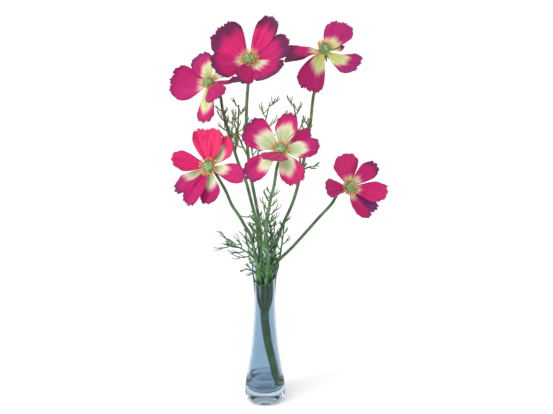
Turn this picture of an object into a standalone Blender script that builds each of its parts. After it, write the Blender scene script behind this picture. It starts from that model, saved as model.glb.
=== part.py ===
"""Six cosmos blooms on one branched stem with feathery leaves, standing in a clear glass bud vase.

The origin is the centre of the vase's foot, +Z is up, and a viewer in front looks along +Y.
Sizes are in millimetres and become metres where a mesh is made. A bloom is modelled in its own
space, with its disc on the origin facing +Z, and is then turned to face its heading and rise.
"""

import math
import random
from collections import namedtuple

import bmesh
import bpy
from mathutils import Matrix, Vector

MM = 0.001
GAP = 0.3  # clearance between pieces that rest on each other

# ---- driving dimensions -------------------------------------------------------------------------

# Vase: outer radius at each height, from the flat foot to the flared mouth.
VASE_OUTSIDE = [
    (0, 17), (1.4, 19.8), (6, 22.8), (12.6, 24.2), (24.6, 23.5), (36.6, 21.1), (60, 17.4),
    (83.5, 14.8), (105, 13.2), (125.7, 12.5), (137, 12.9), (150, 13.6), (162, 14.9), (170, 17.0),
    (180, 20.5),
]
VASE_WALL = 2.2
VASE_WELL = [(14.5, 15.9), (18, 17.4), (19.6, 19.6), (20.5, 23)]  # radius, height of the rounded floor
VASE_FLOOR = 15.2
WELL_TOP = 30  # above this height the hollow follows the outside
VASE_SIDES = 20
MOUTH_MIDDLE = 165.5  # the mouth is cut on a slant: its mean height, and how far it rises and falls
MOUTH_SLANT = 14.5
MOUTH_LOW_HEADING = math.radians(-102)  # the low side faces the viewer, turned a little to the left
MOUTH_BASE = 137  # the rings above this height follow the slant
LIP_RISE = 0.8  # height of the rounded lip above the wall

WATER_LEVEL = 33

# Stems: centre points from the fork in the neck up to each bloom, and radii.
TRUNK_ROUTE = [
    (14.6, 0, 18.8), (14, 0, 24), (11, 0, 40), (7.6, 0, 56),
    (4, 0, 72), (1.8, 0, 88), (0, 0, 104), (-0.6, 0, 126),
]
TRUNK_RADII = (4.4, 5.2)
TRUNK_SIDES = 10
STEM_RADII = (2.0, 1.7)
STEM_SIDES = 6
STEM_FOOT = 117  # height at which the stems part, each this far from the trunk's axis
STEM_FOOT_SPREAD = 3.4
NECK_DEPTHS = (-22, -8)  # heights on a bloom's axis that its stem passes through, to meet the calyx square on
ROUTE_STEPS = 2  # smoothing points to each span of a route
STEM_ROUTES = [
    [
        (-2, 2, 146), (-6, 6, 186), (-9, 9, 218), (-16, 12, 248),
        (-22, 15, 271), (-30, 18, 290), (-38, 21, 316), (-47, 25, 347),
    ],
    [
        (-2, -1, 147), (-3, -2, 180), (-5, -3, 218), (-10, -4, 251),
        (-14, -4, 273), (-18, -4, 303), (-20, -4, 338), (-19, -4, 371),
    ],
    [
        (3, 4, 146), (8, 9, 173), (14, 13, 196), (22, 17, 218), (32, 21, 240),
        (39, 26, 262), (46, 32, 292), (53, 40, 331), (57, 45, 366),
    ],
    [
        (-4, -4, 149), (-9, -8, 179), (-16, -12, 212), (-22, -14, 224),
        (-29, -17, 238), (-37, -20, 252), (-44, -22, 270),
    ],
    [
        (2, -5, 149), (4, -12, 185), (2, -18, 203), (2, -21, 216), (2, -26, 233),
        (5, -31, 250), (8, -36, 267), (11, -40, 279), (14, -44, 300),
    ],
    [
        (4.5, 2, 146), (8, 2.4, 160), (12, 2, 170), (17, 3, 177.5),
        (32, 8, 191), (48, 10, 209), (64, 13, 227), (78, 16, 242),
    ],
]

# Bloom parts.
HUB_RADIUS = 6.0
HUB_THICK = 1.3
PETAL_THICK = 0.8
PETAL_ROOT = 4.4  # distance of a petal's claw from the bloom's axis
PETAL_ROWS = 4
NEAR = 0.01  # step along or across a petal for its slope
PETAL_COLUMNS = 6
CLAW = 0.16  # width of a petal at its claw, as a share of its full width
FULLEST = 0.62  # how far the width runs through its half sine by the tip
CORNER = 0.2  # how much the tip's corners are rounded off
TOOTH = 0.035  # depth of the three teeth at the tip, as a share of the length
PLEAT = 0.5
WAVE = 1.3
DISC_RINGS = [(0, 3.4), (2.0, 5.9), (3.6, 6.5), (5.2, 4.3)]  # height and radius of the domed disc
DISC_TOP = 6.1
DISC_SIDES = 8
DISC_GRAIN = 0.3
STAMENS = 8
STAMEN_RADII = (0.45, 0.65)
STAMEN_FOOT = (4.6, 2.2)  # distance from the bloom's axis and height, sunk in the dome
STAMEN_REACH = (8.4, 10.4)  # range of the tip's distance from the axis
STAMEN_RISE = (5.2, 8.0)  # range of the tip's height
CALYX_RINGS = [(-1.6, 4.4), (-4.2, 4.5), (-7.0, 2.7), (-10.0, 1.9)]
CALYX_SIDES = 6
SEPALS = 5
SEPAL_LENGTH = 8
SEPAL_ROOT = 3.6  # distance from the bloom's axis, and depth below it
SEPAL_SLOPE = 1.5  # how far a sepal falls for each step outwards
SEPAL_RADII = (0.95, 0.4)

# A petal's heading round the bloom, chord angle above its plane, curl along its length (plus is towards
# the disc), width, edge cup (plus is towards the disc), twist, and length as a share of the bloom's.
Petal = namedtuple("Petal", "heading lift curl width cup twist length", defaults=(0, 1.0))
Bloom = namedtuple("Bloom", "centre heading rise length petals")
BLOOMS = [
    Bloom((-62, 18, 384), -40, 40, 42, [
        Petal(199, 27, 31, 40, -0.15, -36),
        Petal(132, 16, 25, 28, 0.25, 0, 0.86),
        Petal(64, 0, 20, 26, 0.2, 0, 0.9),
        Petal(328, 20, -31, 27, -0.2, -10, 0.97),
        Petal(276, -20, 0, 23, -0.2, -4, 0.97),
        Petal(14, 0, 40, 18, 0.2, -85, 1.0),
    ]),
    Bloom((-16, -20, 417), 0, 38, 48, [
        Petal(139, 25, 20, 41, -0.2, -16, 0.9),
        Petal(58, 24, 18, 24, 0.3, 9, 1.02),
        Petal(15, 30, 42, 27, 0.05, 5, 0.98),
        Petal(316, 33, 48, 38, 0.18, -6, 0.95),
        Petal(257, 33, 14, 25, 0.2, -34, 0.8),
        Petal(204, 26, 30, 32, 0.12, 0, 0.9),
    ]),
    Bloom((68, 38, 417), 10, 68, 42, [
        Petal(46, 27, 26, 36, 0.13, -3, 0.99),
        Petal(28, 4, 10, 22, 0.2, 0, 0.5),
        Petal(323, 0, 35, 33, -0.12, 16, 0.99),
        Petal(230, -60, -60, 34, 0.2, 0, 1.12),
        Petal(188, 0, -20, 26, 0.2),
        Petal(172, -20, -20, 26, 0.2),
    ]),
    Bloom((-61, -35, 300), -8, 20, 40, [
        Petal(83, 19, 19, 22, 0.17, 11, 1.0),
        Petal(107, 8, -11, 19, 0.4, 4, 0.98),
        Petal(51, 12, 70, 23, 0.2, -20, 0.94),
        Petal(348, 10, 23, 22, 0, 14, 0.97),
        Petal(275, 9, 50, 24, 0.08, 14, 0.95),
        Petal(245, 8, 18, 20, 0.6, 15, 1.1),
        Petal(217, -4, 3, 20, 0.25, 25, 1.05),
        Petal(171, 26, 33, 23, 0.19, 26, 0.98),
    ]),
    Bloom((18, -55, 325), 5, 45, 42, [
        Petal(147, 16, 20, 38, 0.15, 0, 0.98),
        Petal(72, 7, 27, 27, 0.18, -30, 0.99),
        Petal(38, -6, 20, 18, 0.5, 60, 0.95),
        Petal(356, 15, 28, 29, 0.13, -14, 0.92),
        Petal(290, 0, -11, 27, 0.18, 16, 0.98),
        Petal(247, 45, -14, 29, 0.05, 10, 0.94),
        Petal(211, -28, 8, 25, 0.5, -14, 1.05),
    ]),
    Bloom((98, 8, 264), 30, 22, 38, [
        Petal(91, 10, 18, 36, 0.05, 9, 0.92),
        Petal(34, 30, 30, 21, 0.2),
        Petal(340, 30, 32, 24, -0.1, -2, 1.08),
        Petal(314, 4, 10, 16, 0.5, 30),
        Petal(277, 30, 55, 18, 0.23, -5, 1.08),
        Petal(175, 21, 30, 22, 0.05, 5, 1.0),
    ]),
]

# Feathery leaves: the stem each grows from, the height it leaves it at, the heading it takes (0 is +X,
# 90 is away from the viewer) and its rise, its length, how far it bows over, and its threads.
Frond = namedtuple("Frond", "stem root heading rise length bow threads thread")
FRONDS = [
    Frond(2, 300, 190, 64, 50, -16, 6, 16),
    Frond(1, 296, 186, 70, 68, -10, 9, 16),
    Frond(1, 302, 40, 80, 56, -10, 5, 19),
    Frond(2, 276, 0, 79, 96, 4, 6, 22),
    Frond(3, 272, 140, 84, 82, 6, 7, 19),
    Frond(3, 314, 0, 88, 28, 0, 4, 12),
    Frond(3, 280, -20, 50, 20, 60, 3, 10),
    Frond(5, 212, 0, 84, 58, 0, 9, 16),
    Frond(5, 224, 190, 50, 26, 30, 3, 13),
    Frond(3, 190, 150, 84, 38, 10, 6, 14),
    Frond(6, 177, 20, 80, 48, -6, 6, 14),
    Frond(4, 172, 170, 78, 40, -20, 7, 14),
    Frond(4, 176, 190, 50, 44, 40, 8, 23),
    Frond(4, 170, 185, 24, 18, 10, 3, 9),
    Frond(5, 176, -80, 80, 42, 0, 6, 14),
    Frond(1, 180, 120, 82, 42, 0, 6, 14),
    Frond(3, 178, 100, 82, 42, 10, 6, 14),
]
MIDRIB_RADII = (1.3, 1.0)
MIDRIB_SIDES = 4
THREAD_RADII = (0.7, 0.45)
FORK_RADII = (0.5, 0.4)
FORKED = 0.35  # share of the threads that fork
THREAD_SIDES = 3
BARE_STALK = 0.25  # share of a leaf below its first thread
LAST_THREAD = 0.95
MIDRIB_STEPS = 4
LEAF_FACING = (0.2, 1, 0.1)  # threads open at right angles to this, so that a leaf is broad from the front
THREAD_ROLL = 0.7  # how far a thread may turn round the midrib, in radians
THREAD_LENGTHS = (0.75, 1.1)  # range of a thread's length, as a share of the leaf's own
THREAD_LONGEST = 1.1  # the threads' lengths run from this share down by the taper to the leaf's tip
THREAD_TAPER = 0.55
THREAD_LEAN = (0.5, 1.5)  # how far a thread leans along the leaf for each step outwards, at its foot and tip
THREAD_SUNK = 0.2
FORK_LEAN = 0.5
FORK_SPREAD = 0.4
FORK_SHARE = 0.5  # length of a fork, as a share of its thread's

# Colours as linear red, green and blue, then roughness.
FINISHES = {
    "glass": ((0.45, 0.58, 0.70), 0.05),
    "water": ((0.70, 0.78, 0.85), 0.05),
    "green_stem": ((0.055, 0.125, 0.045), 0.55),
    "magenta_petal": ((0.56, 0.022, 0.135), 0.6),
    "green_disc": ((0.21, 0.39, 0.18), 0.7),
}


# ---- helpers ------------------------------------------------------------------------------------


def material(name):
    """The named finish as a Principled BSDF, made once."""
    found = bpy.data.materials.get(name)
    if found:
        return found
    colour, roughness = FINISHES[name]
    made = bpy.data.materials.new(name)
    made.use_nodes = True
    shader = made.node_tree.nodes["Principled BSDF"]
    shader.inputs["Base Color"].default_value = (*colour, 1)
    shader.inputs["Roughness"].default_value = roughness
    if name in ("glass", "water"):
        shader.inputs["Transmission Weight"].default_value = 1.0
    return made


def solid(name, finish, points, faces):
    """An object from points in millimetres, with its faces turned outwards."""
    mesh = bpy.data.meshes.new(name)
    mesh.from_pydata([Vector(p) * MM for p in points], [], faces)
    shape = bmesh.new()
    shape.from_mesh(mesh)
    bmesh.ops.triangulate(shape, faces=shape.faces)
    if shape.calc_volume(signed=True) < 0:
        bmesh.ops.reverse_faces(shape, faces=shape.faces)
    shape.to_mesh(mesh)
    shape.free()
    mesh.shade_smooth()
    mesh.set_sharp_from_angle(angle=math.radians(40))
    mesh.materials.append(material(finish))
    made = bpy.data.objects.new(name, mesh)
    bpy.context.scene.collection.objects.link(made)
    return made


def loft(rings):
    """Points and faces of a closed skin over rings of equal count. An end ring of one point is a pole."""
    points = [p for ring in rings for p in ring]
    starts = [sum(len(r) for r in rings[:i]) for i in range(len(rings))]
    faces = []
    for (low, first), (high, second) in zip(zip(rings, starts), zip(rings[1:], starts[1:])):
        count = max(len(low), len(high))
        for i in range(count):
            j = (i + 1) % count
            if len(low) == 1:
                faces.append((first, second + j, second + i))
            elif len(high) == 1:
                faces.append((first + i, first + j, second))
            else:
                faces.append((first + i, first + j, second + j, second + i))
    if len(rings[0]) > 1:
        faces.append(tuple(reversed(range(len(rings[0])))))
    if len(rings[-1]) > 1:
        faces.append(tuple(range(starts[-1], len(points))))
    return points, faces


def ring_at(height, radius, sides, turn=0.0):
    steps = [2 * math.pi * i / sides + turn for i in range(sides)]
    return [Vector((radius * math.cos(a), radius * math.sin(a), height)) for a in steps]


def smooth_route(points, steps):
    """Catmull-Rom points through a hand-placed route, with this many steps to each span."""
    held = [Vector(p) for p in points]
    held = [2 * held[0] - held[1], *held, 2 * held[-1] - held[-2]]
    route = []
    for a, b, c, d in zip(held, held[1:], held[2:], held[3:]):
        for k in range(steps):
            t = k / steps
            bend = (2 * a - 5 * b + 4 * c - d) * t * t + (3 * b - a - 3 * c + d) * t ** 3
            route.append((2 * b + (c - a) * t + bend) / 2)
    return [*route, held[-2]]


def tube(route, radii, sides):
    """Points and faces of a round rod along a route, its radius running evenly from end to end."""
    rings = []
    across = (route[1] - route[0]).orthogonal().normalized()
    for i, centre in enumerate(route):
        before, after = route[max(i - 1, 0)], route[min(i + 1, len(route) - 1)]
        along = (after - before).normalized()
        across = (across - along * across.dot(along)).normalized()
        over = along.cross(across)
        radius = radii[0] + (radii[1] - radii[0]) * i / (len(route) - 1)
        steps = [2 * math.pi * k / sides for k in range(sides)]
        rings.append([centre + radius * (across * math.cos(a) + over * math.sin(a)) for a in steps])
    return loft(rings)


def drop_scraps(mesh):
    """Keeps only the largest connected skin, which fills sealed hollows and drops loose scraps."""
    shape = bmesh.new()
    shape.from_mesh(mesh)
    left = set(shape.verts)
    skins = []
    while left:
        found, edge = set(), [left.pop()]
        while edge:
            vert = edge.pop()
            found.add(vert)
            near = {e.other_vert(vert) for e in vert.link_edges} & left
            left -= near
            edge.extend(near)
        skins.append(found)
    largest = max(skins, key=len)
    loose = [vert for skin in skins if skin is not largest for vert in skin]
    bmesh.ops.delete(shape, geom=loose, context="VERTS")
    shape.to_mesh(mesh)
    shape.free()


def fuse(name, finish, shapes, solver="EXACT"):
    """One body from several overlapping shapes, by a single Boolean union on a collection."""
    group = bpy.data.collections.new(name + "_parts")
    first, *others = [solid(name, finish, points, faces) for points, faces in shapes]
    for other in others:
        group.objects.link(other)
        bpy.context.scene.collection.objects.unlink(other)
    union = first.modifiers.new("union", "BOOLEAN")
    union.operation = "UNION"
    union.operand_type = "COLLECTION"
    union.collection = group
    union.solver = solver
    graph = bpy.context.evaluated_depsgraph_get()
    mesh = bpy.data.meshes.new_from_object(first.evaluated_get(graph))
    drop_scraps(mesh)
    first.modifiers.clear()
    first.data = mesh
    for other in others:
        bpy.data.objects.remove(other)
    bpy.data.collections.remove(group)
    mesh.name = name
    return first


# ---- vase and water -----------------------------------------------------------------------------


def profile_radius(profile, height):
    """Radius of a turned profile at a height, between its nearest points."""
    for (low, first), (high, second) in zip(profile, profile[1:]):
        if height <= high:
            return first + (second - first) * (height - low) / (high - low)
    return profile[-1][1]


def mouth_height(heading):
    return MOUTH_MIDDLE - MOUTH_SLANT * math.cos(heading - MOUTH_LOW_HEADING)


def wall_ring(height, inset):
    """A ring of the vase's wall. Above the slant's base its points are spread up to the slanted rim."""
    full = VASE_OUTSIDE[-1][0]
    ring = []
    for i in range(VASE_SIDES):
        heading = 2 * math.pi * i / VASE_SIDES
        share = max(0.0, (height - MOUTH_BASE) / (full - MOUTH_BASE))
        level = height
        if share > 0:
            level = MOUTH_BASE + (mouth_height(heading) - MOUTH_BASE) * share
        radius = profile_radius(VASE_OUTSIDE, level) - inset
        ring.append(Vector((radius * math.cos(heading), radius * math.sin(heading), level)))
    return ring


def make_vase():
    full = VASE_OUTSIDE[-1][0]
    outer = [wall_ring(height, 0) for height, _ in VASE_OUTSIDE]
    lip = [p + Vector((0, 0, LIP_RISE)) for p in wall_ring(full, VASE_WALL / 2)]
    inner = [wall_ring(height, VASE_WALL) for height, _ in reversed(VASE_OUTSIDE) if height > WELL_TOP]
    well = [ring_at(height, radius, VASE_SIDES) for radius, height in reversed(VASE_WELL)]
    pole = [Vector((0, 0, VASE_FLOOR))]
    solid("vase", "glass", *loft([[Vector((0, 0, 0))], *outer, lip, *inner, *well, pole]))


def trunk_route():
    return [Vector(p) for p in TRUNK_ROUTE]


def make_water():
    """The shallow fill. It keeps clear of the glass, and has a plain hole where the trunk stands in it."""
    well = [ring_at(height + GAP, radius - GAP, VASE_SIDES) for radius, height in VASE_WELL]
    top_radius = profile_radius(VASE_OUTSIDE, WATER_LEVEL) - VASE_WALL - 2 * GAP
    top = ring_at(WATER_LEVEL, top_radius, VASE_SIDES)
    poles = [[Vector((0, 0, VASE_FLOOR + GAP))], [Vector((0, 0, WATER_LEVEL))]]
    water = solid("water", "water", *loft([poles[0], *well, top, poles[1]]))
    route = trunk_route()
    route.insert(0, route[0] * 2 - route[1])
    radii = [r + 2 * GAP for r in TRUNK_RADII]
    cutter = solid("trunk_hole", "water", *tube(route, radii, TRUNK_SIDES))
    cutter.hide_render = True
    cutter.display_type = "WIRE"
    hole = water.modifiers.new("trunk_hole", "BOOLEAN")
    hole.object = cutter
    hole.operation = "DIFFERENCE"


# ---- blooms -------------------------------------------------------------------------------------


def bloom_space(bloom):
    """The matrix from a bloom's own space to the object's."""
    heading, rise = math.radians(bloom.heading), math.radians(bloom.rise)
    ahead = Vector((math.sin(heading), -math.cos(heading), 0))
    facing = ahead * math.cos(rise) + Vector((0, 0, math.sin(rise)))
    right = Vector((math.cos(heading), math.sin(heading), 0))
    up = facing.cross(right)
    turn = Matrix((right, up, facing)).transposed().to_4x4()
    return Matrix.Translation(bloom.centre) @ turn


def petal_point(petal, length, phase, t, s):
    """The petal's middle layer in its bloom's space: t runs from claw to tip, s from -1 to 1 across."""
    ridge = math.cos(3 * math.pi * s)
    reach = t * (1 - CORNER * abs(s) ** 3 * t) + TOOTH * ridge * t ** 6
    curl = math.radians(petal.curl) or 1e-4
    start = math.radians(petal.lift) - curl / 2
    slope = start + curl * reach
    along = length * (math.sin(slope) - math.sin(start)) / curl
    height = length * (math.cos(start) - math.cos(slope)) / curl
    half = petal.width / 2 * (CLAW + (1 - CLAW) * math.sin(math.pi * FULLEST * t))
    wave = WAVE * s * abs(s) * t * math.sin(2 * math.pi * (1.2 * t + phase))
    crest = petal.cup * half * s * s + PLEAT * ridge * math.sin(math.pi * t) + wave
    twist = math.radians(petal.twist) * t
    side = half * s * math.cos(twist) - crest * math.sin(twist)
    raised = half * s * math.sin(twist) + crest * math.cos(twist)
    across = PETAL_ROOT + along - raised * math.sin(slope)
    turn = math.radians(petal.heading)
    x = across * math.cos(turn) - side * math.sin(turn)
    y = across * math.sin(turn) + side * math.cos(turn)
    return Vector((x, y, height + raised * math.cos(slope) - HUB_THICK / 2))


def petal_blade(petal, length, phase):
    """Points and triangles of one petal, split alike on both faces."""
    rows, columns = PETAL_ROWS, PETAL_COLUMNS
    faces, upper, lower = [], [], []
    for i in range(rows + 1):
        for j in range(columns + 1):
            t, s = i / rows, 2 * j / columns - 1
            ahead, behind = (petal_point(petal, length, phase, t + d, s) for d in (NEAR, -NEAR))
            left, right = (petal_point(petal, length, phase, t, s + d) for d in (NEAR, -NEAR))
            normal = (ahead - behind).cross(left - right).normalized() * PETAL_THICK / 2
            centre = petal_point(petal, length, phase, t, s)
            upper.append(centre + normal)
            lower.append(centre - normal)
    wide, under = columns + 1, len(upper)
    for i in range(rows):
        for j in range(columns):
            a, b = i * wide + j, i * wide + j + 1
            c, d = b + wide, a + wide
            faces += [(a, b, c), (a, c, d)]
            faces += [(under + a, under + c, under + b), (under + a, under + d, under + c)]
    loop = [j for j in range(wide)]
    loop += [i * wide + columns for i in range(1, rows + 1)]
    loop += [rows * wide + j for j in range(columns - 1, -1, -1)]
    loop += [i * wide for i in range(rows - 1, 0, -1)]
    for a, b in zip(loop, loop[1:] + loop[:1]):
        faces += [(a, under + a, under + b), (a, under + b, b)]
    return upper + lower, faces


def placed(space, shape):
    points, faces = shape
    return [space @ p for p in points], faces


def make_petals(name, bloom, draw):
    """All the petals of a bloom, sunk into the thin ring that holds them.

    The petals cross at shallow angles, where the EXACT solver leaves loose slivers.
    """
    hub = loft([ring_at(-HUB_THICK, HUB_RADIUS, DISC_SIDES), ring_at(0, HUB_RADIUS, DISC_SIDES)])
    shapes = [hub]
    for petal in bloom.petals:
        shapes.append(petal_blade(petal, bloom.length * petal.length, draw.random()))
    space = bloom_space(bloom)
    fuse(name, "magenta_petal", [placed(space, shape) for shape in shapes], solver="MANIFOLD")


def disc_dome():
    """The domed disc, its surface grained by turns in and out."""
    rings = []
    for i, (height, radius) in enumerate(DISC_RINGS):
        grain = [DISC_GRAIN * (-1) ** (i + j) if i else 0 for j in range(DISC_SIDES)]
        ring = ring_at(GAP + height, 1, DISC_SIDES)
        rings.append([Vector((p.x * (radius + g), p.y * (radius + g), p.z)) for p, g in zip(ring, grain)])
    return loft([*rings, [Vector((0, 0, GAP + DISC_TOP))]])


def make_disc(name, bloom, draw):
    """The disc with its ring of stamens, each rooted in the dome."""
    shapes = [disc_dome()]
    for i in range(STAMENS):
        turn = 2 * math.pi * (i + draw.uniform(-0.3, 0.3)) / STAMENS
        out = Vector((math.cos(turn), math.sin(turn), 0))
        foot = out * STAMEN_FOOT[0] + Vector((0, 0, STAMEN_FOOT[1]))
        tip = out * draw.uniform(*STAMEN_REACH) + Vector((0, 0, draw.uniform(*STAMEN_RISE)))
        shapes.append(tube([foot, tip], STAMEN_RADII, THREAD_SIDES))
    space = bloom_space(bloom)
    fuse(name, "green_disc", [placed(space, shape) for shape in shapes])


# ---- green parts --------------------------------------------------------------------------------


def stem_route(number):
    """The centre line of a flower stem, from inside the trunk to the calyx it carries."""
    bloom = BLOOMS[number]
    space = bloom_space(bloom)
    neck = [space @ Vector((0, 0, depth)) for depth in NECK_DEPTHS]
    side = Vector(STEM_ROUTES[number][0]) * Vector((1, 1, 0))
    foot = side.normalized() * STEM_FOOT_SPREAD + Vector((0, 0, STEM_FOOT))
    return smooth_route([foot, *STEM_ROUTES[number], *neck], ROUTE_STEPS)


def calyx_shapes(bloom):
    """The cup under a bloom and the narrow sepals that stand back from it."""
    space = bloom_space(bloom)
    cup = loft([ring_at(height, radius, CALYX_SIDES) for height, radius in CALYX_RINGS])
    shapes = [placed(space, cup)]
    for i in range(SEPALS):
        turn = 2 * math.pi * i / SEPALS
        out = Vector((math.cos(turn), math.sin(turn), 0))
        back = Vector((0, 0, -1))
        root = (out + back) * SEPAL_ROOT
        tip = root + (out + back * SEPAL_SLOPE).normalized() * SEPAL_LENGTH
        shapes.append(placed(space, tube([root, tip], SEPAL_RADII, THREAD_SIDES)))
    return shapes


def thread(root, along, out, length, draw):
    """One thread of a leaf, curving from the leaf's side towards its tip, with a short fork on some."""
    start, finish = ((along * lean + out).normalized() for lean in THREAD_LEAN)
    middle = root + start * length / 2
    end = middle + finish * length / 2
    shapes = [tube([root + start * THREAD_SUNK, middle, end], THREAD_RADII, THREAD_SIDES)]
    if draw.random() < FORKED:
        aside = along.cross(out) * draw.uniform(-FORK_SPREAD, FORK_SPREAD)
        away = (along - out * FORK_LEAN + aside).normalized()
        foot = middle - start
        shapes.append(tube([foot, foot + away * length * FORK_SHARE], FORK_RADII, THREAD_SIDES))
    return shapes


def frond_shapes(frond, route, draw):
    """A feathery leaf: a bowed midrib from the stem's heart, with threads to both sides of it."""
    root = min(route, key=lambda p: abs(p.z - frond.root))
    heading, rise = math.radians(frond.heading), math.radians(frond.rise)
    flat = Vector((math.cos(heading), math.sin(heading), 0))
    midrib = [root]
    for i in range(MIDRIB_STEPS):
        angle = rise - math.radians(frond.bow) * i / MIDRIB_STEPS
        step = flat * math.cos(angle) + Vector((0, 0, math.sin(angle)))
        midrib.append(midrib[-1] + step * frond.length / MIDRIB_STEPS)
    shapes = [tube(midrib, MIDRIB_RADII, MIDRIB_SIDES)]
    for i in range(frond.threads):
        share = BARE_STALK + (LAST_THREAD - BARE_STALK) * i / (frond.threads - 1)
        place = share * MIDRIB_STEPS
        k = int(place)
        foot = midrib[k].lerp(midrib[k + 1], place - k)
        along = (midrib[k + 1] - midrib[k]).normalized()
        across = along.cross(Vector(LEAF_FACING)).normalized() * (-1) ** i
        lean = Matrix.Rotation(draw.uniform(-THREAD_ROLL, THREAD_ROLL), 3, along)
        reach = frond.thread * draw.uniform(*THREAD_LENGTHS) * (THREAD_LONGEST - THREAD_TAPER * share)
        shapes += thread(foot, along, lean @ across, reach, draw)
    return shapes


def make_leafy_stems():
    """Trunk, flower stems, calyxes and leaves, grown as one body."""
    shapes = [tube(trunk_route(), TRUNK_RADII, TRUNK_SIDES)]
    routes = [stem_route(number) for number in range(len(BLOOMS))]
    for route, bloom in zip(routes, BLOOMS):
        shapes.append(tube(route, STEM_RADII, STEM_SIDES))
        shapes += calyx_shapes(bloom)
    for number, frond in enumerate(FRONDS):
        shapes += frond_shapes(frond, routes[frond.stem - 1], random.Random(40 + number))
    fuse("leafy_stems", "green_stem", shapes)


# ---- assembly -----------------------------------------------------------------------------------


def main():
    for old in list(bpy.data.objects):
        bpy.data.objects.remove(old)
    make_vase()
    make_water()
    make_leafy_stems()
    for number, bloom in enumerate(BLOOMS, start=1):
        draw = random.Random(number)
        make_petals(f"bloom_{number}_petals", bloom, draw)
        make_disc(f"bloom_{number}_disc", bloom, draw)


main()
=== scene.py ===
"""Looks for six cosmos blooms on a branched stem with feathery leaves, in a clear glass bud vase.

Tables hold millimetres, and meshes are in metres. A bloom is shaped in its own space, with its disc on the
origin facing +Z, and is then turned to its heading and rise and moved to its centre.
"""

import math
import random
from collections import namedtuple

import bpy
import numpy as np
from mathutils import Matrix, Vector


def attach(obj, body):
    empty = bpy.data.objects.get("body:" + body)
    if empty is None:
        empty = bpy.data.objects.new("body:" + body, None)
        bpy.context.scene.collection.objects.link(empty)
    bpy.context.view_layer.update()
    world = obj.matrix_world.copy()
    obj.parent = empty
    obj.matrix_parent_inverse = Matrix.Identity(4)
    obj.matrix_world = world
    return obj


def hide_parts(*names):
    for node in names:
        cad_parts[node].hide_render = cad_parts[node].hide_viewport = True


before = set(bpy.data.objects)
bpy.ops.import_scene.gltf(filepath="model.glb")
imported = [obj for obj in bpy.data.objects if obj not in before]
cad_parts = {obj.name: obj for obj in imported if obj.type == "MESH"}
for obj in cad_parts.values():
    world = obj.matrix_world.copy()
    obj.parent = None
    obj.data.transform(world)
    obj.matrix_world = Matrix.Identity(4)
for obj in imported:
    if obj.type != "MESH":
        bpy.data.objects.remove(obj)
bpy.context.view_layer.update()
MM = 0.001

# ---- camera -------------------------------------------------------------------------------------
# A long lens a little above the blooms, straight in front of the vase, as for a catalogue picture
# of a table-top piece. It looks down on the middle of the spray.

LOOKS_AT = Vector((13.8, 0, 243)) * MM
CAMERA_AWAY = 1300 * MM
CAMERA_ABOVE = math.radians(17)
SENSOR_WIDTH = 36
LENS = 73.56

camera = bpy.data.objects.new("camera", bpy.data.cameras.new("camera"))
bpy.context.collection.objects.link(camera)
camera.location = LOOKS_AT + CAMERA_AWAY * Vector((0, -math.cos(CAMERA_ABOVE), math.sin(CAMERA_ABOVE)))
camera.rotation_euler = (math.pi / 2 - CAMERA_ABOVE, 0, 0)
camera.data.sensor_width = SENSOR_WIDTH
camera.data.lens = LENS
bpy.context.scene.camera = camera
bpy.context.scene.view_settings.view_transform = "Standard"

# ---- studio -------------------------------------------------------------------------------------
# A wide opal acrylic table, lit a little from inside, under a white light tent whose soft key comes
# from the upper left. Two narrow panels beside the vase draw the bright lines on its glass.


def linear(hex_colour):
    """An sRGB hex colour as linear red, green, blue and alpha."""
    shares = [int(hex_colour[i : i + 2], 16) / 255 for i in (1, 3, 5)]
    return (*[c / 12.92 if c <= 0.04045 else ((c + 0.055) / 1.055) ** 2.4 for c in shares], 1)


def add(tree, kind, inputs=None, stops=(), **settings):
    """Adds a shader node with its settings, its inputs as values or links, and a colour ramp's stops."""
    node = tree.nodes.new("ShaderNode" + kind)
    for name, value in settings.items():
        setattr(node, name, value)
    for i, (place, colour) in enumerate(stops):
        stop = node.color_ramp.elements[i] if i < 2 else node.color_ramp.elements.new(place)
        stop.position, stop.color = place, linear(colour)
    for name, value in (inputs or {}).items():
        if isinstance(value, bpy.types.NodeSocket):
            tree.links.new(value, node.inputs[name])
        else:
            node.inputs[name].default_value = value
    return node


def new_material(name):
    """An empty material's tree and its Principled shader."""
    made = bpy.data.materials.new(name)
    made.use_nodes = True
    return made, made.node_tree, made.node_tree.nodes["Principled BSDF"]


TABLE_SIZE = 60  # metres
TABLE_DROP = 0.2 * MM  # the foot's ground ring stands this far clear of the table
TABLE_GLOW = 0.24
SUN_TILT = (math.radians(42), 0, math.radians(-38))
SUN_WIDTH = math.radians(50)
SUN_STRENGTH = 1.55
SKY_LIGHT = 0.58
PANELS = [
    # place in metres, watts, width and height in metres
    ((-1.5, -1.1, 0.9), 16, 0.35, 1.5),
    ((1.6, -0.8, 0.8), 9, 0.25, 1.5),
]

bpy.ops.object.select_all(action="DESELECT")
bpy.ops.mesh.primitive_plane_add(size=TABLE_SIZE, location=(0, 0, -TABLE_DROP))
table = bpy.context.object
table.name = "table"
# Opal acrylic sheet, matt: an even white with hardly a gleam.
opal, tree, shader = new_material("backlit_opal_acrylic_table")
shader.inputs["Base Color"].default_value = linear("#EDEDED")
shader.inputs["Roughness"].default_value = 0.9
shader.inputs["Specular IOR Level"].default_value = 0.1
shader.inputs["Emission Color"].default_value = linear("#FFFFFF")
shader.inputs["Emission Strength"].default_value = TABLE_GLOW
table.data.materials.append(opal)

tent = bpy.data.lights.new("tent", "SUN")
tent.energy = SUN_STRENGTH
tent.angle = SUN_WIDTH
holder = bpy.data.objects.new("tent", tent)
holder.rotation_euler = SUN_TILT
bpy.context.collection.objects.link(holder)

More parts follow.
